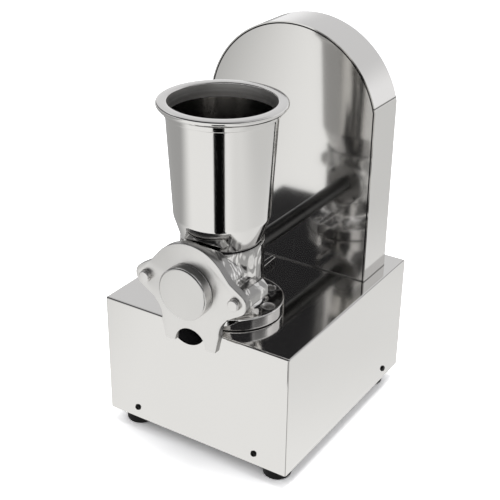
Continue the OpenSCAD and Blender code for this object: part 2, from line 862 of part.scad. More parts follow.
module front_plate() {
  color("lightgray")
  difference() {
    union() {
      translate([axis_x, 0, axis_z]) upright(plate_back_y, plate_t) plate_outline();
      bar_y(plate_front_y - cap_len * 0.55, plate_front_y + overrun, hub_r);
      bar_y(plate_back_y - overrun, plate_back_y + 2 * gasket_t, chamber_r - run_play);
    }
    bar_y(plate_front_y - cap_len, plate_back_y + 3 * gasket_t, journal_r + bush_wall + seat_play);
    for (side = [-1, 1])
      bar_y(plate_front_y - overrun, plate_back_y + overrun, pin_r + run_play, axis_x + side * lug_x);
  }
}

module plate_gasket() {
  color("black")
  ring_y(plate_back_y, barrel_front_y, flange_r - gasket_t, chamber_r + soft_gap);
}

module front_cap() {
  edge = cap_len * 0.2;
  seam = gasket_t;
  bore_end_y = plate_front_y - cap_len * 0.6;
  color("lightgray")
  difference() {
    translate([axis_x, cap_front_y, axis_z])
      rotate([-90, 0, 0])
        rotate_extrude()
          union() {
            translate([0, edge]) square([cap_r, cap_len - edge - seam]);
            square([cap_r - edge, cap_len - seam]);
            translate([cap_r - edge, edge]) circle(r = edge, $fn = 32);
            translate([0, cap_len - 2 * seam]) square([cap_r - seam, 2 * seam]);
          }
    bar_y(bore_end_y, plate_front_y + overrun, hub_r + run_play);
  }
}

module nose_bush() {
  color("darkgoldenrod")
  ring_y(plate_front_y - cap_len * 0.5, plate_back_y + gasket_t,
         journal_r + bush_wall, journal_r + run_play);
}

module locating_pins() {
  tip_y = plate_front_y - pin_proud;
  edge = pin_r * 0.12;
  color("silver")
  for (side = [-1, 1])
    translate([axis_x + side * lug_x, tip_y, axis_z])
      rotate([-90, 0, 0]) {
        cylinder(h = edge, r1 = pin_r - edge, r2 = pin_r);
        translate([0, 0, edge]) cylinder(h = pin_end_y - tip_y - edge, r = pin_r);
      }
}

// Auger, screen and shaft

module auger() {
  flight_len = auger_end_y - auger_front_y;
  flight_angle = 360 * flight_t / auger_pitch;
  flight_steps = 5;
  slot_half_w = drive_pin_r + run_play;
  color("silver")
  difference() {
    union() {
      translate([axis_x, auger_front_y, axis_z])
        rotate([-90, 0, 0])
          linear_extrude(flight_len, twist = -360 * flight_len / auger_pitch, slices = 36) {
            circle(r = auger_core_r, $fn = 20);
            polygon(concat([[0, 0]], [
              for (i = [0 : flight_steps])
                auger_r * [cos(i * flight_angle / flight_steps), sin(i * flight_angle / flight_steps)]
            ]));
          }
      bar_y(plate_back_y - journal_len, auger_front_y + overrun, journal_r);
      bar_y(auger_front_y + overrun, auger_end_y, auger_core_r);
    }
    bar_y(auger_end_y - tang_len - gasket_t, auger_end_y + overrun, tang_r + seat_play);
    block([axis_x - slot_half_w, drive_pin_y - slot_half_w, axis_z - auger_core_r - overrun],
          [axis_x + slot_half_w, auger_end_y + overrun, axis_z + auger_core_r + overrun]);
  }
}

// Cross pin in the shaft's end, which the auger's slots ride on
module auger_drive_pin() {
  half_len = auger_core_r - gasket_t;
  color("dimgray")
  bar_z(axis_z - half_len, axis_z + half_len, drive_pin_r, axis_x, drive_pin_y);
}

module juice_screen() {
  hole_r = 1.1;
  hole_step = 5.5;
  holes_n = 8;
  start_y = barrel_front_y + pulp_slot_len + 2 * gasket_t;
  end_y = chamber_end_y;
  color("silver")
  difference() {
    ring_y(start_y, end_y, screen_r, screen_r - screen_t);
    block([axis_x - screen_r - overrun, neck_y - neck_bore_r, axis_z + screen_r * 0.2],
          [axis_x + screen_r + overrun, chamber_end_y - 2 * gasket_t, axis_z + screen_r + overrun]);
    for (i = [0 : holes_n - 1])
      for (turn = [-36, -18, 0, 18, 36])
        translate([axis_x, start_y + hole_step * (i + 1), axis_z])
          rotate([0, turn, 0]) translate([0, 0, -screen_r]) drill(screen_t, hole_r, $fn = 16);
  }
}

module shaft_seal() {
  color("black")
  ring_y(chamber_end_y, chamber_end_y + seal_t, seal_r - seat_play, shaft_r + soft_gap);
}

module drive_shaft() {
  color("silver")
  difference() {
    union() {
      bar_y(auger_end_y - tang_len, auger_end_y, tang_r);
      bar_y(auger_end_y - overrun, shaft_end_y, shaft_r);
    }
    bar_z(axis_z - 2 * tang_r, axis_z + 2 * tang_r, drive_pin_r + seat_play, axis_x, drive_pin_y);
    driven_key_slot(key_w + 2 * seat_play);
  }
}

module driven_key_slot(w) {
  len = pulley_w * 0.9;
  block([axis_x - w * 0.5, front_plane_y - len * 0.5, axis_z + shaft_r - key_w * 0.5],
        [axis_x + w * 0.5, front_plane_y + len * 0.5, axis_z + shaft_r + key_w * 0.45]);
}

module driven_pulley_key() {
  play = seat_play;
  color("dimgray")
  block([axis_x - key_w * 0.5, front_plane_y - pulley_w * 0.4, axis_z + shaft_r - key_w * 0.5 + play],
        [axis_x + key_w * 0.5, front_plane_y + pulley_w * 0.4, axis_z + shaft_r + key_w * 0.45 - play]);
}

module shaft_sleeve() {
  color("gainsboro")
  ring_y(front_bearing_y + bearing_w + cap_t, cover_front_y + sheet + gasket_t,
         sleeve_r, sleeve_r - sleeve_t);
}

module at_bearing_cap_screws() {
  for (turn = [45 : 90 : 315])
    translate([axis_x, boss_end_y, axis_z])
      rotate([0, turn, 0]) translate([(boss_r + bearing_r) * 0.5, 0, 0]) rotate([-90, 0, 0]) children();
}

// Plug and flange that hold the front bearing and carry the sleeve
module bearing_cap() {
  color("lightgray")
  difference() {
    union() {
      bar_y(boss_end_y, boss_end_y + cap_t, boss_r);
      bar_y(front_bearing_y + bearing_w, boss_end_y + cap_t, bearing_r - seat_play);
    }
    bar_y(front_bearing_y + bearing_w - overrun, boss_end_y + cap_t + overrun, sleeve_r + seat_play);
    bar_y(front_bearing_y + bearing_w - overrun, front_bearing_y + bearing_w + cap_t, race_mid_r);
    at_bearing_cap_screws()
      drill(cap_t, cap_screw_r + screw_play);
  }
}

module bearing_cap_screws() {
  color("dimgray")
  at_bearing_cap_screws()
    translate([0, 0, cap_t]) socket_screw(cap_screw_r * 1.7, cap_screw_r * 1.6, cap_screw_r, 4 * cap_t);
}

// Bearings

module bearing_outer(y, x, z, w, outer_r, mid_r) {
  translate([x, y, z]) rotate([-90, 0, 0])
    rotate_extrude()
      difference() {
        translate([mid_r + race_gap_r, 0]) square([outer_r - mid_r - race_gap_r, w]);
        translate([mid_r, w * 0.5]) circle(r = ball_r + run_play, $fn = 32);
      }
}

module bearing_inner(y, x, z, w, inner_r, mid_r) {
  translate([x, y, z]) rotate([-90, 0, 0])
    rotate_extrude()
      difference() {
        translate([inner_r, 0]) square([mid_r - race_gap_r - inner_r, w]);
        translate([mid_r, w * 0.5]) circle(r = ball_r + run_play, $fn = 32);
      }
}

module bearing_balls(y, x, z, w, mid_r) {
  for (i = [0 : balls_n - 1])
    translate([x, y + w * 0.5, z])
      rotate([0, i * 360 / balls_n, 0])
        translate([mid_r, 0, 0]) sphere(r = ball_r, $fn = 32);
}

module shaft_bearing_outers() {
  color("silver")
  for (y = [front_bearing_y, rear_bearing_y])
    bearing_outer(y, axis_x, axis_z, bearing_w, bearing_r - seat_play, race_mid_r);
}

module shaft_bearing_inners() {
  color("silver")
  for (y = [front_bearing_y, rear_bearing_y])
    bearing_inner(y, axis_x, axis_z, bearing_w, shaft_r + seat_play, race_mid_r);
}

module shaft_bearing_balls() {
  color("white")
  for (y = [front_bearing_y, rear_bearing_y])
    bearing_balls(y, axis_x, axis_z, bearing_w, race_mid_r);
}

// Pulleys and belts

// A grooved pulley around the Y axis at x, z, its middle at y
module pulley(y, x, z, belt_r, bore_r) {
  half_w = pulley_w * 0.5;
  floor_r = belt_r - belt_play;
  rim_out = belt_r + belt_h;
  difference() {
    translate([x, y, z]) rotate([-90, 0, 0])
      rotate_extrude()
        polygon([
          [bore_r, -half_w], [rim_out, -half_w], [rim_out, -half_w + groove_land - belt_play],
          [floor_r, -groove_floor_w * 0.5 - belt_play], [floor_r, groove_floor_w * 0.5 + belt_play],
          [rim_out, half_w - groove_land + belt_play], [rim_out, half_w], [bore_r, half_w]
        ]);
    children();
  }
}

// Openings that turn a large pulley's web into spokes
module spoke_holes(y, x, z, inner, outer) {
  mid_r = (inner + outer) * 0.5;
  hole_r = min(outer - inner, mid_r) * 0.42;
  for (turn = [30 : 60 : 330])
    translate([x, y, z]) rotate([0, turn, 0]) translate([mid_r, 0, 0])
      rotate([-90, 0, 0]) cylinder(h = pulley_w + 2 * overrun, r = hole_r, center = true);
}

// A V belt around two pulleys in the plane at y
module v_belt(y, x1, z1, r1, x2, z2, r2) {
  run_x = x2 - x1;
  run_z = z2 - z1;
  gap = sqrt(run_x * run_x + run_z * run_z);
  wrap = acos((r1 - r2) / gap);
  len = sqrt(gap * gap - (r1 - r2) * (r1 - r2));
  translate([x1, y, z1]) rotate([90, 0, 0]) rotate([0, 0, atan2(run_z, run_x)]) {
    rotate([0, 0, wrap]) rotate_extrude(angle = 360 - 2 * wrap, $fn = 96) translate([r1, 0]) belt_section();
    translate([gap, 0, 0])
      rotate([0, 0, -wrap]) rotate_extrude(angle = 2 * wrap, $fn = 96) translate([r2, 0]) belt_section();
    for (side = [0, 1])
      mirror([0, side, 0])
        rotate([0, 0, wrap]) translate([r1, belt_joint, 0])
          rotate([90, 0, 0]) linear_extrude(len + 2 * belt_joint) belt_section();
  }
}

module belt_section() {
  polygon([
    [0, -groove_floor_w * 0.5], [belt_h, -belt_w * 0.5], [belt_h, belt_w * 0.5], [0, groove_floor_w * 0.5]
  ]);
}

module driven_pulley() {
  color("dimgray")
  difference() {
    pulley(front_plane_y, axis_x, axis_z, driven_pulley_r, shaft_r + seat_play)
      spoke_holes(front_plane_y, axis_x, axis_z, shaft_r * 1.7, driven_pulley_r - belt_h);
    block([axis_x - key_w * 0.5 - seat_play, front_plane_y - pulley_w, axis_z],
          [axis_x + key_w * 0.5 + seat_play, front_plane_y + pulley_w, axis_z + shaft_r + key_w * 0.5]);
  }
}

module counter_small_pulley() {
  color("dimgray")
  pulley(front_plane_y, 0, counter_z, counter_small_r, counter_shaft_r + seat_play);
}

module counter_large_pulley() {
  color("dimgray")
  pulley(rear_plane_y, 0, counter_z, counter_large_r, counter_shaft_r + seat_play)
    spoke_holes(rear_plane_y, 0, counter_z, counter_shaft_r * 2.2, counter_large_r - belt_h);
}

module motor_pulley() {
  color("dimgray")
  pulley(rear_plane_y, 0, motor_z, motor_pulley_r, motor_shaft_r + seat_play);
}

module auger_belt() {
  color("black")
  v_belt(front_plane_y, axis_x, axis_z, driven_pulley_r, 0, counter_z, counter_small_r);
}

module motor_belt() {
  color("black")
  v_belt(rear_plane_y, 0, motor_z, motor_pulley_r, 0, counter_z, counter_large_r);
}

module countershaft() {
  color("silver")
  union() {
    bar_y(front_plane_y - pulley_w * 0.5, rear_plane_y + pulley_w * 0.5, counter_shaft_r, 0, counter_z);
    bearing_inner(rear_bearing_y, 0, counter_z, bearing_w, counter_shaft_r - overrun, counter_mid_r);
  }
}

module counter_bearing_outer() {
  color("silver")
  bearing_outer(rear_bearing_y, 0, counter_z, bearing_w, counter_bearing_r - seat_play, counter_mid_r);
}

module counter_bearing_balls() {
  color("white")
  bearing_balls(rear_bearing_y, 0, counter_z, bearing_w, counter_mid_r);
}

module bearing_plate() {
  arm = bearing_r + 2 * carrier_wall;
  bearing_end_y = rear_bearing_y + bearing_w;
  back = bearing_plate_back_y;
  color("slategray")
  difference() {
    union() {
      upright(back, bearing_plate_t) {
        polygon([
          [-plate_half_w, top_z], [plate_half_w, top_z], [plate_half_w, top_z + plate_foot_w],
          [axis_x + arm, axis_z + arm], [arm, counter_z], [-arm, counter_z],
          [-arm, axis_z + arm], [-plate_half_w, top_z + plate_foot_w]
        ]);
        translate([0, counter_z]) circle(r = arm);
      }
      bar_y(rear_bearing_y, back, bearing_r + carrier_wall);
      bar_y(rear_bearing_y, back, counter_bearing_r + carrier_wall, 0, counter_z);
      at_bearing_plate_feet()
        block([-plate_foot_w * 0.5, -plate_foot_d * 0.5 - bearing_plate_t, top_z],
              [plate_foot_w * 0.5, plate_foot_d * 0.5, top_z + bearing_plate_t]);
    }
    bar_y(rear_bearing_y - overrun, bearing_end_y, bearing_r);
    bar_y(rear_bearing_y - overrun, bearing_end_y, counter_bearing_r, 0, counter_z);
    bar_y(bearing_end_y - overrun, back + overrun, shaft_r + sleeve_t);
    bar_y(bearing_end_y - overrun, back + overrun, counter_shaft_r + sleeve_t, 0, counter_z);
    at_bearing_plate_feet()
      translate([0, 0, top_z]) drill(bearing_plate_t, foot_bolt_r + screw_play);
  }
}

module bearing_plate_bolts() {
  color("silver")
  at_bearing_plate_feet() {
    translate([0, 0, top_z + bearing_plate_t])
      socket_screw(foot_bolt_r * 1.6, foot_bolt_r * 1.8, foot_bolt_r, bearing_plate_t + sheet + 2 * nut_h);
    translate([0, 0, inner_top_z - nut_h]) nut_for(foot_bolt_r, nut_h);
  }
}

// Motor

module motor_body() {
  y1 = motor_y + bell_len;
  color("slategray")
  ring_y(y1, y1 + motor_len, motor_r, stator_r + air_gap, 0, motor_z);
}

// An end bell, open towards the motor's shell
module end_bell(y_outer, y_inner, shaft_hole_r) {
  low = min(y_outer, y_inner);
  high = max(y_outer, y_inner);
  inner_low = y_outer < y_inner ? low + bell_wall : low - overrun;
  inner_high = y_outer < y_inner ? high + overrun : high - bell_wall;
  difference() {
    bar_y(low, high, bell_r, 0, motor_z);
    bar_y(inner_low, inner_high, bell_r - bell_wall, 0, motor_z);
    bar_y(low - overrun, high + overrun, shaft_hole_r, 0, motor_z);
    for (turn = [0 : 30 : 330])
      translate([0, (low + high) * 0.5, motor_z])
        rotate([0, turn, 0]) translate([motor_r * 0.66, 0, 0])
          rotate([-90, 0, 0]) cylinder(h = 2 * bell_len, r = bell_wall, center = true);
  }
}

module motor_front_bell() {
  color("dimgray")
  end_bell(motor_y, motor_y + bell_len, motor_shaft_r + run_play);
}

module motor_rear_bell() {
  color("dimgray")
  end_bell(motor_end_y, motor_end_y - bell_len, motor_shaft_r + run_play);
}

module at_cradle_bolts() {
  for (side = [-1, 1])
    for (y = [motor_y + bell_len + motor_len * 0.2, motor_y + bell_len + motor_len * 0.8])
      translate([side * (cradle_half_w - cradle_bolt_r * 3), y, 0]) children();
}

module cradle_bolt_holes() {
  at_cradle_bolts() translate([0, 0, under_z]) drill(floor_t, cradle_bolt_r + screw_play);
}

module motor_cradle() {
  low_z = under_z + floor_t;
  y1 = motor_y + bell_len + motor_len * 0.1;
  y2 = y1 + motor_len * 0.8;
  color("dimgray")
  difference() {
    union() {
      block([-cradle_half_w, y1, low_z], [cradle_half_w, y2, low_z + cradle_t]);
      for (y = [y1, y2 - cradle_t])
        block([-cradle_half_w * 0.6, y, low_z],
              [cradle_half_w * 0.6, y + cradle_t, motor_z - motor_r * 0.6]);
    }
    bar_y(y1 - overrun, y2 + overrun, motor_r + seat_play, 0, motor_z);
    at_cradle_bolts() translate([0, 0, low_z]) drill(cradle_t, cradle_bolt_r + screw_play);
  }
}

module motor_bolts() {
  color("silver")
  at_cradle_bolts() {
    translate([0, 0, under_z + floor_t + cradle_t])
      socket_screw(cradle_bolt_r * 1.7, cradle_bolt_r, cradle_bolt_r,
                   cradle_t + floor_t + 2 * cradle_bolt_r);
    translate([0, 0, under_z - cradle_bolt_r * 1.6]) nut_for(cradle_bolt_r, cradle_bolt_r * 1.6);
  }
}

module motor_rotor() {
  y1 = motor_y + bell_len;
  color("silver")
  union() {
    bar_y(y1 + bell_wall, y1 + motor_len - bell_wall, stator_r, 0, motor_z);
    bar_y(motor_y - bell_wall, rear_plane_y + pulley_w * 0.5, motor_shaft_r, 0, motor_z);
  }
}

// A hub with flat blades that stand out of it
module motor_fan() {
  fan_hub_r = motor_shaft_r * 1.8;
  blade_root_r = motor_shaft_r * 1.4;
  blade_tip_r = motor_r * 0.77;
  blade_half_t = bell_wall * 0.3;
  y1 = motor_y + bell_wall + gasket_t;
  y2 = motor_y + bell_len - gasket_t;
  color("black")
  difference() {
    union() {
      bar_y(y1, y2, fan_hub_r, 0, motor_z);
      for (turn = [2.5 : 45 : 317.5])
        translate([0, 0, motor_z]) rotate([0, turn, 0])
          block([blade_root_r, y1 + gasket_t, -blade_half_t], [blade_tip_r, y2 - gasket_t, blade_half_t]);
    }
    bar_y(y1 - overrun, y2 + overrun, motor_shaft_r + seat_play, 0, motor_z);
  }
}

// Juice chute and electrical parts

module chute_half(x, y, r, top) {
  translate([x, y, top])
    rotate([-90, 0, 0])
      intersection() {
        cylinder(h = overrun, r = r, $fn = 32);
        translate([-r, 0, 0]) cube([2 * r, r, overrun]);
      }
}

module juice_chute() {
  top = inner_top_z;
  front_y = sheet;
  back_y = drain_y + drain_r * 2.2;
  front_r = outlet_r + sheet;
  back_r = drain_r * 2.5;
  color("black")
  difference() {
    hull() {
      chute_half(-outlet_left, front_y, front_r, top);
      chute_half(axis_x, back_y, back_r, top);
    }
    hull() {
      chute_half(-outlet_left, front_y - 2 * overrun, front_r - sheet, top + gasket_t);
      chute_half(axis_x, back_y - 2 * overrun, back_r - sheet, top + gasket_t);
    }
  }
}

module capacitor() {
  y1 = base_d * 0.32;
  color("whitesmoke")
  union() {
    bar_y(y1, y1 + capacitor_len, capacitor_r, base_w * 0.36, under_z + floor_t + capacitor_r + cradle_t);
    for (y = [y1 + capacitor_len * 0.2, y1 + capacitor_len * 0.7])
      block([base_w * 0.36 - capacitor_r * 0.7, y, under_z + floor_t],
            [base_w * 0.36 + capacitor_r * 0.7, y + 2 * cradle_t, under_z + floor_t + capacitor_r]);
  }
}

module terminal_block() {
  cell = 10;
  cells = 4;
  color("ivory")
  translate([-base_w * 0.43, base_d * 0.55, under_z + floor_t])
    difference() {
      cube([2 * cell, cells * cell, 1.4 * cell]);
      for (i = [0 : cells - 1])
        for (x = [cell * 0.5, cell * 1.5])
          translate([x, cell * (i + 0.5), cell * 0.7]) cylinder(h = cell, r = cell * 0.28);
    }
}

module at_inlet() {
  translate([inlet_x, base_d - sheet, under_z + inlet_rise]) children();
}

module at_switch() {
  translate([switch_x, base_d - sheet, under_z + inlet_rise]) children();
}

module power_inlet() {
  back = sheet + inlet_proud;
  color("black")
  at_inlet()
    difference() {
      union() {
        translate([-inlet_w * 0.5, sheet, -inlet_h * 0.5]) cube([inlet_w, inlet_proud, inlet_h]);
        translate([-inlet_body_w * 0.5, -inlet_depth, -inlet_body_h * 0.5])
          cube([inlet_body_w, inlet_depth + back, inlet_body_h]);
      }
      inlet_socket(back);
      at_inlet_pins()
        translate([-inlet_pin_w * 0.5 - seat_play, -inlet_depth - overrun, -inlet_pin_h * 0.5 - seat_play])
          cube([inlet_pin_w + 2 * seat_play, inlet_depth, inlet_pin_h + 2 * seat_play]);
    }
}

module at_inlet_pins() {
  for (share = inlet_pin_place_shares)
    translate([share[0] * socket_w, 0, share[1] * socket_h]) children();
}

module inlet_socket(back) {
  bevel = socket_h * 0.28;
  translate([0, back + overrun, 0]) rotate([90, 0, 0])
    linear_extrude(inlet_depth * 0.8 + overrun)
      polygon([
        [-socket_w * 0.5, -socket_h * 0.5], [socket_w * 0.5, -socket_h * 0.5],
        [socket_w * 0.5, socket_h * 0.5 - bevel], [socket_w * 0.5 - bevel, socket_h * 0.5],
        [-socket_w * 0.5 + bevel, socket_h * 0.5], [-socket_w * 0.5, socket_h * 0.5 - bevel]
      ]);
}

module inlet_pins() {
  color("silver")
  at_inlet()
    at_inlet_pins()
      translate([-inlet_pin_w * 0.5, -inlet_depth - 3 * inlet_pin_w, -inlet_pin_h * 0.5])
        cube([inlet_pin_w, inlet_depth + inlet_pin_w, inlet_pin_h]);
}

module switch_frame() {
  wall = switch_wall;
  color("black")
  at_switch()
    difference() {
      union() {
        translate([-switch_w * 0.5, sheet, -switch_h * 0.5]) cube([switch_w, inlet_proud, switch_h]);
        translate([-switch_body_w * 0.5, -switch_depth, -switch_body_h * 0.5])
          cube([switch_body_w, switch_depth + sheet + inlet_proud, switch_body_h]);
      }
      translate([-switch_body_w * 0.5 + wall, -switch_depth + wall, -switch_body_h * 0.5 + wall])
        cube([switch_body_w - 2 * wall, switch_depth + sheet + inlet_proud, switch_body_h - 2 * wall]);
      translate([0, -rocker_pin_r, 0]) rotate([0, 90, 0])
        cylinder(h = switch_body_w - wall, r = rocker_pin_r + run_play, center = true);
    }
}

module switch_rocker() {
  half_w = switch_body_w * 0.5 - switch_wall - soft_gap;
  lift = rocker_lift;
  half_h = rocker_half_h;
  color("firebrick")
  at_switch()
    translate([0, -rocker_pin_r, 0]) rotate([rocker_travel * 0.5, 0, 0])
      union() {
        rotate([0, 90, 0])
          cylinder(h = switch_body_w - switch_wall - 2 * seat_play, r = rocker_pin_r, center = true);
        rotate([90, 0, 90])
          translate([0, 0, -half_w])
            linear_extrude(2 * half_w)
              polygon([
                [-lift * 0.6, -half_h * 0.8], [lift, -half_h * 0.9], [lift * 0.6, 0],
                [lift, half_h * 0.9], [-lift * 0.6, half_h * 0.8], [-lift * 1.4, 0]
              ]);
      }
}

seat() base_shell();
seat() base_floor();
seat() rear_panel();
seat() rubber_feet();
seat() foot_screws();
seat() panel_screws();
seat() belt_cover_front();
seat() belt_cover_bead();
seat() belt_cover_band();
seat() belt_cover_back();
seat() cover_screws();
seat() barrel();
seat() pedestal_gasket();
seat() pedestal_bolts();
seat() pedestal_nuts();
seat() hopper();
seat() hopper_seal();
seat() front_plate();
seat() plate_gasket();
seat() front_cap();
seat() nose_bush();
seat() locating_pins();
seat() auger();
seat() auger_drive_pin();
seat() juice_screen();
seat() shaft_seal();
seat() drive_shaft();
seat() shaft_sleeve();
seat() bearing_cap();
seat() bearing_cap_screws();
seat() shaft_bearing_outers();
seat() shaft_bearing_inners();
seat() shaft_bearing_balls();
seat() driven_pulley();
seat() driven_pulley_key();
seat() auger_belt();
seat() bearing_plate();
seat() bearing_plate_bolts();
seat() counter_bearing_outer();
seat() counter_bearing_balls();
seat() countershaft();
seat() counter_small_pulley();
seat() counter_large_pulley();
seat() motor_belt();
seat() motor_body();
seat() motor_front_bell();
seat() motor_rear_bell();
seat() motor_cradle();
seat() motor_bolts();
seat() motor_rotor();
seat() motor_fan();
seat() motor_pulley();
seat() juice_chute();
seat() capacitor();
seat() terminal_block();
seat() power_inlet();
seat() inlet_pins();
seat() switch_frame();
seat() switch_rocker();
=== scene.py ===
"""Looks of the belt driven wheatgrass juicer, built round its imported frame.

Lengths in this script are millimetres in the part's own drawing: x from the middle of the base box,
y from its front panel to the rear, z up from the floor. place() turns them into the frame's metres.
"""
import bpy
import bmesh
import json
import math
from mathutils import Matrix, Vector


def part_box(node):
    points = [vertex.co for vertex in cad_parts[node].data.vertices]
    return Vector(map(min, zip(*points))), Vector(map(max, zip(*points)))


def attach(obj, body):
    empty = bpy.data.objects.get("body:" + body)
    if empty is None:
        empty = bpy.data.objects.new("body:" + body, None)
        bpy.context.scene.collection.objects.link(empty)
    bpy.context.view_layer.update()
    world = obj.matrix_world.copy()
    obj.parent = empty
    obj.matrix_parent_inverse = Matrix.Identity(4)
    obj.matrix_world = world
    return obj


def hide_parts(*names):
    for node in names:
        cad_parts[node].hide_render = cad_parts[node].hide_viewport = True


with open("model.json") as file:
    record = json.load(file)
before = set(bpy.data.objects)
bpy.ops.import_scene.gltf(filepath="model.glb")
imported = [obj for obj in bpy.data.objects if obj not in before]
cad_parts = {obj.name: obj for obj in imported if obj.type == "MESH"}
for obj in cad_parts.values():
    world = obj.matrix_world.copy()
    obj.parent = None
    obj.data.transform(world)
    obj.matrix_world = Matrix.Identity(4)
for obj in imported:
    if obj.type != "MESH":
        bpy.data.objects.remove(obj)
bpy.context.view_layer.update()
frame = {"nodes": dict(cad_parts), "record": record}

MM = 0.001                            # a millimetre of the drawing, in the frame's metres
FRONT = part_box("base_shell")[0].y     # the front panel's face, in the frame
BASE_TOP = 174.0                      # the top of the base
AXIS = (15.5, 238.5)                  # the auger's axis, x and z
HOPPER_AT = (15.5, 35.5)              # the middle of the hopper, x and y
BAND_SEAM_Z = 392.0                   # the joint line on the cover's band
FOOT_SEAM_Z = BASE_TOP + 0.6          # the joint line where the cover meets the base


def place(x, y, z):
    """A point of the drawing, in the frame."""
    return Vector((x * MM, FRONT + y * MM, z * MM))


def drawn(spot):
    """The same point back in the drawing's millimetres."""
    return spot.x * 1000, (spot.y - FRONT) * 1000, spot.z * 1000


# ---------------------------------------------------------------- camera

VIEW_DEGREES = (32.30, 26.67, 0.825)      # turn round the object, tilt down, roll
FOCAL_PIXELS, FRAME_PIXELS = 1078.1, 500.0
SENSOR_MM = 36.0
FRONT_FOOT = (0, 0, 20)                   # the middle of the front panel's lower edge
FOOT_SEEN = (-0.2626, -0.8929, 5.0766)    # where it lies from the lens: right, up and away,
BASE_WIDTH = 0.25                         # in widths of the base, which is this many metres


def aim_camera():
    """The photograph's own viewing angle, from the edges of the base box and the cover."""
    turn, tilt, roll = (math.radians(degrees) for degrees in VIEW_DEGREES)
    level = math.cos(tilt)
    back = Vector((math.sin(turn) * level, -math.cos(turn) * level, math.sin(tilt)))
    right = (-back).cross(Vector((0, 0, 1))).normalized()
    up = right.cross(-back)
    across = right * math.cos(roll) + up * math.sin(roll)
    upward = up * math.cos(roll) - right * math.sin(roll)
    to_right, to_top, away = FOOT_SEEN
    spot = place(*FRONT_FOOT) - (across * to_right + upward * to_top - back * away) * BASE_WIDTH
    lens = bpy.data.cameras.new("camera")
    lens.sensor_width = SENSOR_MM
    lens.lens = SENSOR_MM * FOCAL_PIXELS / FRAME_PIXELS
    lens.clip_start, lens.clip_end = 0.05, 50.0
    camera = bpy.data.objects.new("camera", lens)
    camera.matrix_world = Matrix((
        (across.x, upward.x, back.x, spot.x),
        (across.y, upward.y, back.y, spot.y),
        (across.z, upward.z, back.z, spot.z),
        (0, 0, 0, 1),
    ))
    bpy.context.scene.collection.objects.link(camera)
    bpy.context.scene.camera = camera


# ---------------------------------------------------------------- shader maths

class Wire:
    """One socket of a material, which adds its Math nodes when it is used in an expression."""

    def __init__(self, tree, socket):
        self.tree, self.socket = tree, socket

    def _maths(self, operation, *values):
        node = self.tree.nodes.new("ShaderNodeMath")
        node.operation = operation
        for socket, value in zip(node.inputs, values):
            plug(self.tree, socket, value)
        return Wire(self.tree, node.outputs[0])

    def __add__(self, other):
        return self._maths("ADD", self, other)

    def __radd__(self, other):
        return self._maths("ADD", other, self)

    def __sub__(self, other):
        return self._maths("SUBTRACT", self, other)

    def __rsub__(self, other):
        return self._maths("SUBTRACT", other, self)

    def __mul__(self, other):
        return self._maths("MULTIPLY", self, other)

    def __rmul__(self, other):
        return self._maths("MULTIPLY", other, self)

    def __abs__(self):
        return self._maths("ABSOLUTE", self)

    def top(self, other):
        return self._maths("MAXIMUM", self, other)

    def bottom(self, other):
        return self._maths("MINIMUM", self, other)


def plug(tree, socket, value):
    """Sets a socket's value, or links a wire to it."""
    if isinstance(value, Wire):
        tree.links.new(value.socket, socket)
    else:
        socket.default_value = value


class Nodes:
    """An emptied node tree and the ways to fill it."""

    def __init__(self, tree):
        self.tree = tree
        self.tree.nodes.clear()

    def add(self, kind, settings=None, sockets=None, output=0):
        """One node: its settings first, then the values or wires of its sockets."""
        node = self.tree.nodes.new("ShaderNode" + kind)
        for key, value in (settings or {}).items():
            setattr(node, key, value)
        for key, value in (sockets or {}).items():
            plug(self.tree, node.inputs[key], value)
        return Wire(self.tree, node.outputs[output])

    def split(self, vector):
        """A vector as three wires."""
        return [self.add("SeparateXYZ", sockets={0: vector}, output=i) for i in range(3)]

    def step(self, value, low, high):
        """0 below low, 1 above high, smooth between."""
        return self.add(
            "MapRange", {"interpolation_type": "SMOOTHSTEP"}, {0: value, 1: low, 2: high})

    def blend(self, mask, first, second):
        """One colour where the mask is 0 and the other where it is 1."""
        first, second = (c if isinstance(c, Wire) else (*c, 1.0) for c in (first, second))
        return self.add("Mix", {"data_type": "RGBA"}, {0: mask, 6: first, 7: second}, output=2)


class Finish(Nodes):
    """A material under its maker's name, with its shader and the nodes that feed it."""

    def __init__(self, name, **constants):
        self.material = bpy.data.materials.new(name)
        self.material.use_nodes = True
        super().__init__(self.material.node_tree)
        self.end = self.tree.nodes.new("ShaderNodeOutputMaterial")
        self.shader = self.tree.nodes.new("ShaderNodeBsdfPrincipled")
        self.tree.links.new(self.shader.outputs[0], self.end.inputs[0])
        for key, value in constants.items():
            socket = key.replace("_", " ").title().replace("Ior", "IOR")
            self.shader.inputs[socket].default_value = value

    def spot(self):
        """The place on the surface, in metres, which rides with the piece."""
        return self.add("TexCoord", output="Object")

    def axes(self):
        """The same place as three wires."""
        return self.split(self.spot())

    def cloud(self, per_metre, detail=3.0, stretch=(1, 1, 1), twist=0.0):
        """Noise from 0 to 1, so many grains to the metre, drawn out along an axis by stretch."""
        stretched = self.add("VectorMath", {"operation": "MULTIPLY"}, {0: self.spot(), 1: stretch})
        return self.add("TexNoise", sockets={
            "Vector": stretched, "Scale": per_metre, "Detail": detail, "Distortion": twist})

    def set(self, socket, value):
        plug(self.tree, self.shader.inputs[socket], value)

    def relief(self, height):
        """Bumps from a height in millimetres."""
        self.set("Normal", self.add("Bump", sockets={
            "Strength": 1.0, "Distance": MM, "Height": height}))


def toned(colour, amount):
    """A colour made darker or lighter."""
    return tuple(c * amount for c in colour)


# ---------------------------------------------------------------- finishes

STEEL = (0.765, 0.755, 0.740)
JOINT_SHADOW = (0.06, 0.055, 0.05)
JOINT_STRENGTH = 0.85
SEAM_FADE = (0.0003, 0.0009)          # from the dark of a joint line to the sheet, in metres
FOLD_FADE = (0.0007, 0.0012)          # the same for a fold of the base, measured in from its face
TOP_FOLD_FADE = (0.0006, 0.0011)


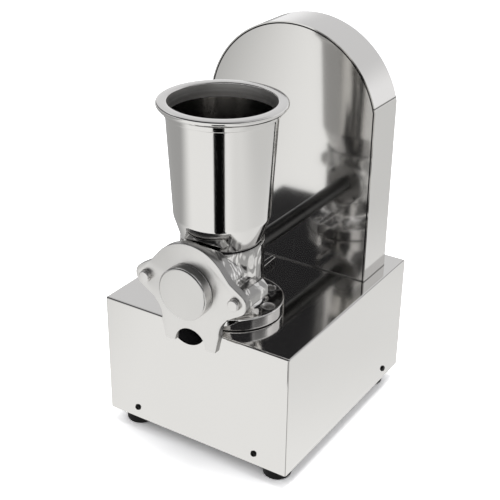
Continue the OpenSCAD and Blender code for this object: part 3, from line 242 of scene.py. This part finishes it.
def polished_sheet(name, seams=(), box_edges=False):
    """Mirror polished sheet: faint long waves, buffing haze and a few fine scratches.

    seams are the heights of its joint lines, and box_edges draws the folds of the base.
    """
    f = Finish(name, metallic=1.0)
    haze = f.cloud(9, 4)
    buffed = f.cloud(40, 3, (1, 1, 14))
    scratch = f.step(f.cloud(220, 2, (1, 1, 0.06)), 0.70, 0.78)
    colour = f.blend(haze, toned(STEEL, 0.97), STEEL)
    height = f.cloud(7, 1) * 0.16 + f.cloud(31, 1) * 0.012 + buffed * 0.0006
    x, y, z = f.axes()
    for seam_z in seams:
        seam = 1 - f.step(abs(z - seam_z * MM), *SEAM_FADE)
        colour = f.blend(seam * JOINT_STRENGTH, colour, JOINT_SHADOW)
        height = height - seam * 0.25
    if box_edges:
        low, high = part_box("base_shell")
        near_x = 1 - f.step(high.x - abs(x), *FOLD_FADE)
        near_y = 1 - f.step(y - low.y, *FOLD_FADE)
        near_z = 1 - f.step(high.z - z, *TOP_FOLD_FADE)
        line = (near_x * near_y).top(near_z * near_x).top(near_z * near_y)
        colour = f.blend(line * JOINT_STRENGTH, colour, JOINT_SHADOW)
    f.set("Base Color", colour)
    f.set("Roughness", 0.055 + haze * 0.05 + buffed * 0.02 + scratch * 0.06)
    f.relief(height)
    return f.material


def satin_steel(name, rough=0.30, way=(1, 1, 1), tone=STEEL):
    """Blasted and lightly brushed steel. way draws its grain out along an axis."""
    f = Finish(name, metallic=1.0)
    wear = f.cloud(24, 5)
    grain = f.cloud(1500, 2, way)
    f.set("Base Color", f.blend(wear, toned(tone, 0.93), toned(tone, 1.02)))
    f.set("Roughness", rough - 0.05 + wear * 0.08 + grain * 0.05)
    f.relief(grain * 0.004 + wear * 0.02)
    return f.material


def polished_casting(name):
    """Hand polished cast steel with painted dark reflection patches on its upper part, and its round
    foot turned clean.
    """
    f = Finish(name, metallic=1.0)
    lumps = f.cloud(46, 2)
    ripple = f.cloud(110, 2)
    pits = f.step(f.cloud(700, 2), 0.72, 0.80)
    upper = f.step(f.axes()[2], 0.206, 0.216)
    # painted reflection: noise patches on the upper casting darken the steel to stand in for the
    # dark things it mirrors
    painted_dark_reflections = upper * (1 - f.step(f.cloud(30, 1.5, (1, 1.4, 1), 2.6), 0.46, 0.56))
    colour = f.blend(painted_dark_reflections * 0.8, STEEL, toned(STEEL, 0.34))
    f.set("Base Color", f.blend(pits, colour, toned(STEEL, 0.6)))
    f.set("Roughness", 0.06 + f.cloud(20, 3) * 0.05 + pits * 0.1)
    f.relief(lumps * (0.3 + upper * 1.5) + ripple * 0.12 - pits * 0.01)
    return f.material


def spun_steel(name):
    """The inside of the hopper: rings left by spinning, crossed by scour marks."""
    f = Finish(name, metallic=1.0)
    rings = f.cloud(10, 6, (1, 1, 42), 0.6)
    scour = f.cloud(30, 4, (1, 1, 7), 1.6)
    f.set("Base Color", f.blend(rings, toned(STEEL, 0.62), toned(STEEL, 1.15)))
    f.set("Roughness", 0.28 + rings * 0.14 + scour * 0.14)
    f.relief(rings * 0.05 + scour * 0.06)
    return f.material


def dark_steel(name):
    """Blackened screws and keys."""
    f = Finish(name, metallic=1.0)
    rub = f.cloud(300, 3)
    f.set("Base Color", f.blend(rub, (0.010, 0.010, 0.011), (0.030, 0.029, 0.028)))
    f.set("Roughness", 0.30 + rub * 0.16)
    f.relief(f.cloud(2200, 2) * 0.006)
    return f.material


def cast_metal(name):
    """Grey cast pulleys and end bells, turned on their working faces."""
    f = Finish(name, metallic=0.85)
    sand = f.cloud(900, 4)
    f.set("Base Color", f.blend(sand, (0.30, 0.30, 0.31), (0.46, 0.46, 0.47)))
    f.set("Roughness", 0.42 + sand * 0.18)
    f.relief(sand * 0.05)
    return f.material


def plate_paint(name):
    """Stoved grey paint on the hidden brackets, with a little orange peel."""
    f = Finish(name, coat_weight=0.25)
    peel = f.cloud(420, 2)
    f.set("Base Color", f.blend(f.cloud(35, 4), (0.115, 0.135, 0.155), (0.15, 0.17, 0.19)))
    f.set("Roughness", 0.38 + peel * 0.12)
    f.relief(peel * 0.03)
    return f.material


def ground_steel(name):
    """Ground and oiled steel of shafts, balls and races."""
    f = Finish(name, metallic=1.0)
    ring = f.cloud(14, 4, (1, 80, 1))
    f.set("Base Color", f.blend(ring, (0.56, 0.56, 0.56), (0.68, 0.67, 0.66)))
    f.set("Roughness", 0.16 + ring * 0.14)
    f.relief(ring * 0.006)
    return f.material


def bronze(name):
    """Sintered bronze with open pores."""
    f = Finish(name, metallic=1.0)
    pores = f.step(f.cloud(1600, 2), 0.58, 0.70)
    f.set("Base Color", f.blend(pores, (0.62, 0.40, 0.17), (0.25, 0.15, 0.07)))
    f.set("Roughness", 0.34 + pores * 0.3)
    f.relief(pores * -0.02)
    return f.material


def black_rubber(name):
    """Moulded rubber with bloom and dust in its low spots."""
    f = Finish(name, specular_ior_level=0.15)
    bloom = f.cloud(60, 5)
    f.set("Base Color", f.blend(bloom, (0.006, 0.006, 0.007), (0.016, 0.0155, 0.015)))
    f.set("Roughness", 0.60 + bloom * 0.25)
    f.relief(f.cloud(1800, 3) * 0.012)
    return f.material


def moulded_plastic(name, low, high, rough):
    """Moulded plastic with a fine spark-eroded texture."""
    f = Finish(name)
    cells = f.cloud(2400, 2)
    f.set("Base Color", f.blend(f.cloud(45, 3), low, high))
    f.set("Roughness", rough + cells * 0.12)
    f.relief(cells * 0.014)
    return f.material


FINISHES = {
    "polished_steel": polished_sheet("polished_steel"),
    "satin_steel": satin_steel("satin_steel"),
    "cast_steel": polished_casting("cast_steel"),
    "dark_steel": dark_steel("dark_steel"),
    "cast_metal": cast_metal("cast_metal"),
    "plate_paint": plate_paint("plate_paint"),
    "rotor_steel": ground_steel("rotor_steel"),
    "bronze": bronze("bronze"),
    "black_rubber": black_rubber("black_rubber"),
    "black_plastic": moulded_plastic(
        "black_plastic", (0.010, 0.010, 0.011), (0.018, 0.018, 0.019), 0.34),
    "ivory_plastic": moulded_plastic("ivory_plastic", (0.66, 0.62, 0.50), (0.72, 0.68, 0.57), 0.40),
    "white_plastic": moulded_plastic("white_plastic", (0.70, 0.70, 0.68), (0.76, 0.76, 0.74), 0.30),
    "red_plastic": moulded_plastic("red_plastic", (0.42, 0.016, 0.012), (0.50, 0.024, 0.016), 0.24),
}
SEAMED = polished_sheet("polished_steel_with_seam", (BAND_SEAM_Z, FOOT_SEAM_Z))
FOOTED = polished_sheet("polished_steel_with_foot_seam", (FOOT_SEAM_Z,))
FOLDED = polished_sheet("polished_steel_with_folds", box_edges=True)
TURNED = satin_steel("turned_steel", 0.22, (1, 6, 1), toned(STEEL, 0.90))
# painted shade: a darkened copy of the satin steel for the plate's cut edge
CUT_EDGE_PAINTED_SHADE = satin_steel("cut_edge_painted_shade", 0.24, (1, 8, 1), toned(STEEL, 0.40))
# painted reflection: the sleeve is coloured almost black so that it reads as the dark reflections
# around it
SLEEVE_PAINTED_DARK_REFLECTION = satin_steel("sleeve_painted_dark_reflection", 0.34, (1, 12, 1), toned(STEEL, 0.10))
SPUN = spun_steel("spun_steel")
OWN_FINISH = {
    "belt_cover_band": SEAMED,
    "belt_cover_front": FOOTED,
    "base_shell": FOLDED,
    "shaft_sleeve": SLEEVE_PAINTED_DARK_REFLECTION,
}

NODES_IN = {
    "polished_steel": ["base_shell", "belt_cover_front", "hopper"],
    "satin_steel": [
        "base_floor", "rear_panel", "belt_cover_back", "cover_screws", "pedestal_bolts",
        "pedestal_nuts", "front_plate", "front_cap", "locating_pins", "juice_screen", "shaft_sleeve",
        "bearing_cap", "bearing_plate_bolts", "motor_bolts", "inlet_pins"],
    "cast_steel": ["barrel", "auger"],
    "dark_steel": [
        "foot_screws", "panel_screws", "auger_drive_pin", "bearing_cap_screws", "driven_pulley_key"],
    "cast_metal": [
        "driven_pulley", "counter_small_pulley", "counter_large_pulley", "motor_front_bell",
        "motor_rear_bell", "motor_pulley"],
    "plate_paint": ["bearing_plate", "motor_body", "motor_cradle"],
    "rotor_steel": [
        "drive_shaft", "shaft_bearing_outers", "shaft_bearing_inners", "shaft_bearing_balls",
        "counter_bearing_outer", "counter_bearing_balls", "countershaft", "motor_rotor"],
    "bronze": ["nose_bush"],
    "black_rubber": [
        "rubber_feet", "belt_cover_bead", "pedestal_gasket", "hopper_seal", "plate_gasket",
        "shaft_seal", "auger_belt", "motor_belt"],
    "black_plastic": ["motor_fan", "power_inlet", "switch_frame", "juice_chute"],
    "ivory_plastic": ["terminal_block"],
    "white_plastic": ["capacitor"],
    "red_plastic": ["switch_rocker"],
}
FINISH_OF = {node: finish for finish, nodes in NODES_IN.items() for node in nodes}


def body_of(node):
    """The body that carries a node."""
    bodies = frame["record"]["behaviour"]["bodies"]
    return next(body for body, members in bodies.items() if node in members)


def dress_frame():
    """Every node of the frame gets its finish."""
    for name, shown in frame["nodes"].items():
        shown.data.materials.clear()
        shown.data.materials.append(OWN_FINISH.get(name) or FINISHES[FINISH_OF[name]])
        for face in shown.data.polygons:
            face.material_index = 0


# ---------------------------------------------------------------- pieces

def add_piece(name, mesh, stands_for, *finishes, sharp=38):
    """Puts a mesh on the body of the node that it stands for."""
    for finish in finishes or (FINISHES[FINISH_OF[stands_for]],):
        mesh.materials.append(finish)
    mesh.shade_smooth()
    mesh.set_sharp_from_angle(angle=math.radians(sharp))
    piece = bpy.data.objects.new(name, mesh)
    bpy.context.scene.collection.objects.link(piece)
    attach(piece, body_of(stands_for))
    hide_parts(stands_for)
    return piece


ON_AXIS = 1e-6        # a radius below this lies on the lathe's axis, in millimetres
TURNED_JOIN = 1e-7    # vertices of a turned mesh closer than this are one, in metres
FRAME_JOIN = 2e-6     # the same for a mesh of the frame
FLAT_DEGREES = 0.4    # faces of the frame that turn less than this become one


def rounded(corners, steps=5):
    """A closed outline from corners (a, b, radius), each corner turned into an arc."""
    outline = []
    count = len(corners)
    for i, (a, b, radius) in enumerate(corners):
        here = Vector((a, b))
        if not radius:
            outline.append(here)
            continue
        before = (Vector(corners[i - 1][:2]) - here).normalized()
        after = (Vector(corners[(i + 1) % count][:2]) - here).normalized()
        half = before.angle(after) / 2
        reach = radius / math.tan(half)
        centre = here + (before + after).normalized() * (radius / math.sin(half))
        start, end = here + before * reach - centre, here + after * reach - centre
        sweep = start.angle_signed(end)
        for k in range(steps + 1):
            turn = -sweep * k / steps
            outline.append(centre + Matrix.Rotation(turn, 2) @ start)
    return outline


def turned(outline, around, along="Z", segments=144):
    """A mesh turned on a lathe from a closed outline (radius, place), in drawing millimetres."""
    mesh = bmesh.new()
    rings = []
    for k in range(segments):
        c, s = math.cos(2 * math.pi * k / segments), math.sin(2 * math.pi * k / segments)
        ring = []
        for radius, at in outline:
            if along == "Z":
                spot = place(around[0] + radius * c, around[1] + radius * s, at)
            else:
                spot = place(around[0] + radius * c, at, around[1] + radius * s)
            ring.append(mesh.verts.new(spot))
        rings.append(ring)
    count = len(outline)
    for k in range(segments):
        one, two = rings[k], rings[(k + 1) % segments]
        for i in range(count):
            j = (i + 1) % count
            if max(outline[i][0], outline[j][0]) > ON_AXIS:
                mesh.faces.new((one[i], two[i], two[j], one[j]))
    bmesh.ops.remove_doubles(mesh, verts=mesh.verts, dist=TURNED_JOIN)
    bmesh.ops.recalc_face_normals(mesh, faces=mesh.faces)
    made = bpy.data.meshes.new("turned")
    mesh.to_mesh(made)
    mesh.free()
    return made


def joined_copy(node):
    """A copy of a node's mesh with its vertices joined and its flat faces in one."""
    mesh = bmesh.new()
    mesh.from_mesh(frame["nodes"][node].data)
    bmesh.ops.remove_doubles(mesh, verts=mesh.verts, dist=FRAME_JOIN)
    bmesh.ops.dissolve_limit(
        mesh, angle_limit=math.radians(FLAT_DEGREES), verts=mesh.verts, edges=mesh.edges,
        delimit={"NORMAL"})
    bmesh.ops.recalc_face_normals(mesh, faces=mesh.faces)
    made = bpy.data.meshes.new(node)
    mesh.to_mesh(made)
    mesh.free()
    return made


def worked(mesh, *steps):
    """The mesh after modifiers, each given as its type and settings."""
    holder = bpy.data.objects.new("holder", mesh)
    bpy.context.scene.collection.objects.link(holder)
    for kind, settings in steps:
        step = holder.modifiers.new(kind, kind)
        for key, value in settings.items():
            setattr(step, key, value)
    finished = holder.evaluated_get(bpy.context.evaluated_depsgraph_get())
    made = bpy.data.meshes.new_from_object(finished)
    bpy.data.objects.remove(holder)
    return made


def eased(node, width, *finishes):
    """A node with its edges eased by a small radius, in millimetres."""
    mesh = worked(joined_copy(node), ("BEVEL", {
        "width": width * MM, "segments": 3, "limit_method": "ANGLE",
        "angle_limit": math.radians(35), "use_clamp_overlap": False}))
    return add_piece(node + "_eased", mesh, node, *finishes)


HOPPER_SEAT_Z = 272          # where the hopper stands on the neck
HOPPER_LIP_Z = 418           # where the wall turns into the rim
HOPPER_MOUTH_Z = 430.5       # above this is the rim's polished top
THROAT_R, MOUTH_R = 30, 57.4
WALL_SPREAD = 27.3           # how much wider the inner wall is at the lip than at the throat
FLARE = 0.45                 # how soon the wall widens above the throat
INSIDE_SLACK = 0.6           # how far past the inner wall a face still counts as inside
INSIDE_LIMIT_R = 57.6


def inside_hopper(radius, height):
    """Whether a face of the hopper is on its inner, spun side."""
    climb = (height - HOPPER_SEAT_Z) / (HOPPER_LIP_Z - HOPPER_SEAT_Z)
    wall = MOUTH_R if height > HOPPER_LIP_Z else THROAT_R + WALL_SPREAD * climb ** FLARE
    return height < HOPPER_MOUTH_Z and radius < wall + INSIDE_SLACK and radius < INSIDE_LIMIT_R


def hopper_vessel():
    """Spun hopper with its rolled rim, the collar under it and the cone that stands on the neck."""
    outline = rounded([
        (33.5, 272, 0.4), (33.5, 278, 0.3), (44.5, 278, 0.6), (53, 305, 14), (59.5, 418, 1.2),
        (61.7, 418.6, 0.9), (61.7, 425.2, 1.0), (66.6, 425, 1.6), (69, 428, 2.4), (69, 432, 2.2),
        (57.5, 432, 1.6), (57.3, 416, 8), (50.8, 305, 14), (40.1, 280.2, 1.5), (29.5, 278, 0.8),
        (29.5, 272, 0.4),
    ], 6)
    mesh = turned(outline, HOPPER_AT)
    for face in mesh.polygons:
        x, y, height = drawn(face.center)
        radius = math.hypot(x - HOPPER_AT[0], y - HOPPER_AT[1])
        face.material_index = int(inside_hopper(radius, height))
    add_piece("hopper_vessel", mesh, "hopper", FINISHES["polished_steel"], SPUN)


CASTING_GRAIN = 0.0008    # the casting's mesh is remade this fine, in metres
ALL_SMOOTH = 180          # no edge stays sharp


def cast_barrel():
    """The casting, its edges and inside corners run into each other as a polished casting's do."""
    mesh = worked(
        joined_copy("barrel"),
        ("REMESH", {"mode": "VOXEL", "voxel_size": CASTING_GRAIN}),
        ("SMOOTH", {"factor": 0.5, "iterations": 4}))
    add_piece("cast_barrel", mesh, "barrel", sharp=ALL_SMOOTH)


CUT_FACES = 0.35      # a face that looks forward less than this belongs to the plate's cut edge


def edged_plate():
    """The front plate, whose cut edge is painted darker than its blasted face: painted shade on the
    faces that don't look forward.
    """
    plate = eased("front_plate", 0.8, FINISHES["satin_steel"], CUT_EDGE_PAINTED_SHADE)
    for face in plate.data.polygons:
        face.material_index = int(abs(face.normal.y) < CUT_FACES)


def front_knob():
    """Turned cap with an eased edge and the fine groove where it meets the plate."""
    mesh = turned(rounded([
        (0, -41.5, 0), (30.4, -41.5, 2.6), (30.4, -29.4, 0.4), (29.7, -29.0, 0.2),
        (29.7, -28.6, 0.2), (30.2, -28.3, 0.3), (30.2, -28.0, 0.1), (22.1, -28.0, 0.1),
        (22.1, -35.6, 0.2), (0, -35.6, 0),
    ]), AXIS, "Y")
    add_piece("front_knob", mesh, "front_cap", TURNED)


# ---------------------------------------------------------------- studio

def stage_card(name, corners, z, material):
    """A flat card of the studio, lying at a height above the floor."""
    mesh = bpy.data.meshes.new(name)
    mesh.from_pydata([place(x, y, z) for x, y in corners], [], [range(len(corners))])
    mesh.materials.append(material)
    card = bpy.data.objects.new(name, mesh)
    bpy.context.scene.collection.objects.link(card)
    return card


def floor_paper():
    """White paper: it shows as white but for the shadow, and the steel mirrors it as a glowing sheet
    painted greyer behind.
    """
    f = Finish("floor_paper")
    f.set("Base Color", (0.80, 0.80, 0.80, 1.0))
    f.set("Roughness", 1.0)
    f.set("Specular IOR Level", 0.0)
    paper = Wire(f.tree, f.shader.outputs[0])
    camera = f.add("LightPath", output="Is Camera Ray")
    first = 1 - f.add("LightPath", output="Diffuse Depth").bottom(1.0)
    clear = f.add("LightPath", output="Is Transmission Ray")
    glossy = f.add("LightPath", output="Is Glossy Ray").top(clear) * first
    dim = f.add("BsdfDiffuse", sockets={0: (0.35, 0.35, 0.35, 1)})
    more = f.add("BsdfDiffuse", sockets={0: (0.95, 0.95, 0.95, 1)})
    lit = f.add("AddShader", sockets={0: paper, 1: more})
    seen = f.add("MixShader", sockets={0: camera, 1: dim, 2: lit})
    # painted shade and glow: what the steel mirrors of the floor is a glowing sheet, painted darker
    # behind, a little darker beside and further off
    x, y, _ = f.axes()
    to_the_left, to_the_right = y * 0.46 - x * 0.89, x * 0.83 + y * 0.56
    behind = f.step(to_the_left, 0.02, 0.42)
    beside = f.step(to_the_right, 0.02, 0.30)
    distant = f.step(to_the_right, 0.35, 0.70)
    shade = (1 - behind * 0.58) * (1 - beside * 0.13) * (1 - distant * 0.18)
    grey = f.add("CombineColor", sockets={0: shade, 1: shade, 2: shade * 0.99})
    mirrored = f.add("Emission", sockets={0: grey, 1: 1.0})
    plug(f.tree, f.end.inputs[0], f.add("MixShader", sockets={0: glossy, 1: seen, 2: mirrored}))
    return f.material


def black_card():
    """Matt black card, for what the steel mirrors."""
    f = Finish("black_card")
    f.set("Base Color", (0.002, 0.002, 0.002, 1.0))
    f.set("Roughness", 1.0)
    f.set("Specular IOR Level", 0.0)
    return f.material


FLOOR_REACH = 6000
FLOOR_CORNERS = [
    (-FLOOR_REACH, -FLOOR_REACH), (FLOOR_REACH, -FLOOR_REACH),
    (FLOOR_REACH, FLOOR_REACH), (-FLOOR_REACH, FLOOR_REACH)]
GAP_CORNERS = [(85, -205), (250, -205), (480, -560), (900, -1120), (380, -1260)]
GAP_Z = 0.6    # just clear of the floor
LAMPS = (    # name, place, what it faces, its side in millimetres, its power in watts
    ("soft_key", (-900, -1000, 1500), (0, 100, 200), 900, 4.0),
    ("soft_top", (150, 150, 1700), (0, 150, 200), 800, 12.0),
)


def studio():
    """Floor, the card that only mirrors see, a pale room with darker parts, and two soft lamps."""
    stage_card("floor", FLOOR_CORNERS, 0, floor_paper())
    gap = stage_card("gap_under_the_camera", GAP_CORNERS, GAP_Z, black_card())
    gap.visible_camera = gap.visible_diffuse = gap.visible_shadow = gap.visible_transmission = False

    world = bpy.data.worlds.new("studio")
    world.use_nodes = True
    bpy.context.scene.world = world
    f = Nodes(world.node_tree)
    end = f.tree.nodes.new("ShaderNodeOutputWorld")
    x, y, z = f.split(f.add("TexCoord", output="Generated"))
    front = f.step(0 - y, -0.05, 0.35) * f.step(z, 0.02, 0.42)
    rear = f.step(y, 0.30, 0.70) * f.step(z, 0.10, 0.40) * 0.26
    ceiling = f.step(z, 0.60, 0.80) * 0.5
    sides = f.step(abs(x), 0.72, 0.86) * f.step(z, 0.02, 0.10) * 0.85
    dark = front.top(ceiling).top(sides).top(rear)
    camera = f.add("LightPath", output="Is Camera Ray")
    glossy = f.add("LightPath", output="Is Glossy Ray")
    seen_dark = dark * (0.35 + glossy * 0.65)
    room = f.add("Background", sockets={
        0: f.blend(seen_dark, (0.98, 0.98, 0.99), (0.025, 0.025, 0.027)), 1: 1.0})
    paper = f.add("Background", sockets={0: (1, 1, 1, 1), 1: 1.0})
    plug(f.tree, end.inputs[0], f.add("MixShader", sockets={0: camera, 1: room, 2: paper}))

    for name, spot, target, size, power in LAMPS:
        lamp = bpy.data.lights.new(name, "AREA")
        lamp.shape, lamp.size, lamp.energy = "SQUARE", size * MM, power
        holder = bpy.data.objects.new(name, lamp)
        holder.location = place(*spot)
        facing = place(*target) - place(*spot)
        holder.rotation_euler = facing.to_track_quat("-Z", "Y").to_euler()
        holder.visible_glossy = False
        bpy.context.scene.collection.objects.link(holder)
    bpy.context.scene.view_settings.view_transform = "Standard"


aim_camera()
dress_frame()
hopper_vessel()
cast_barrel()
front_knob()
edged_plate()
eased("locating_pins", 0.5)
studio()
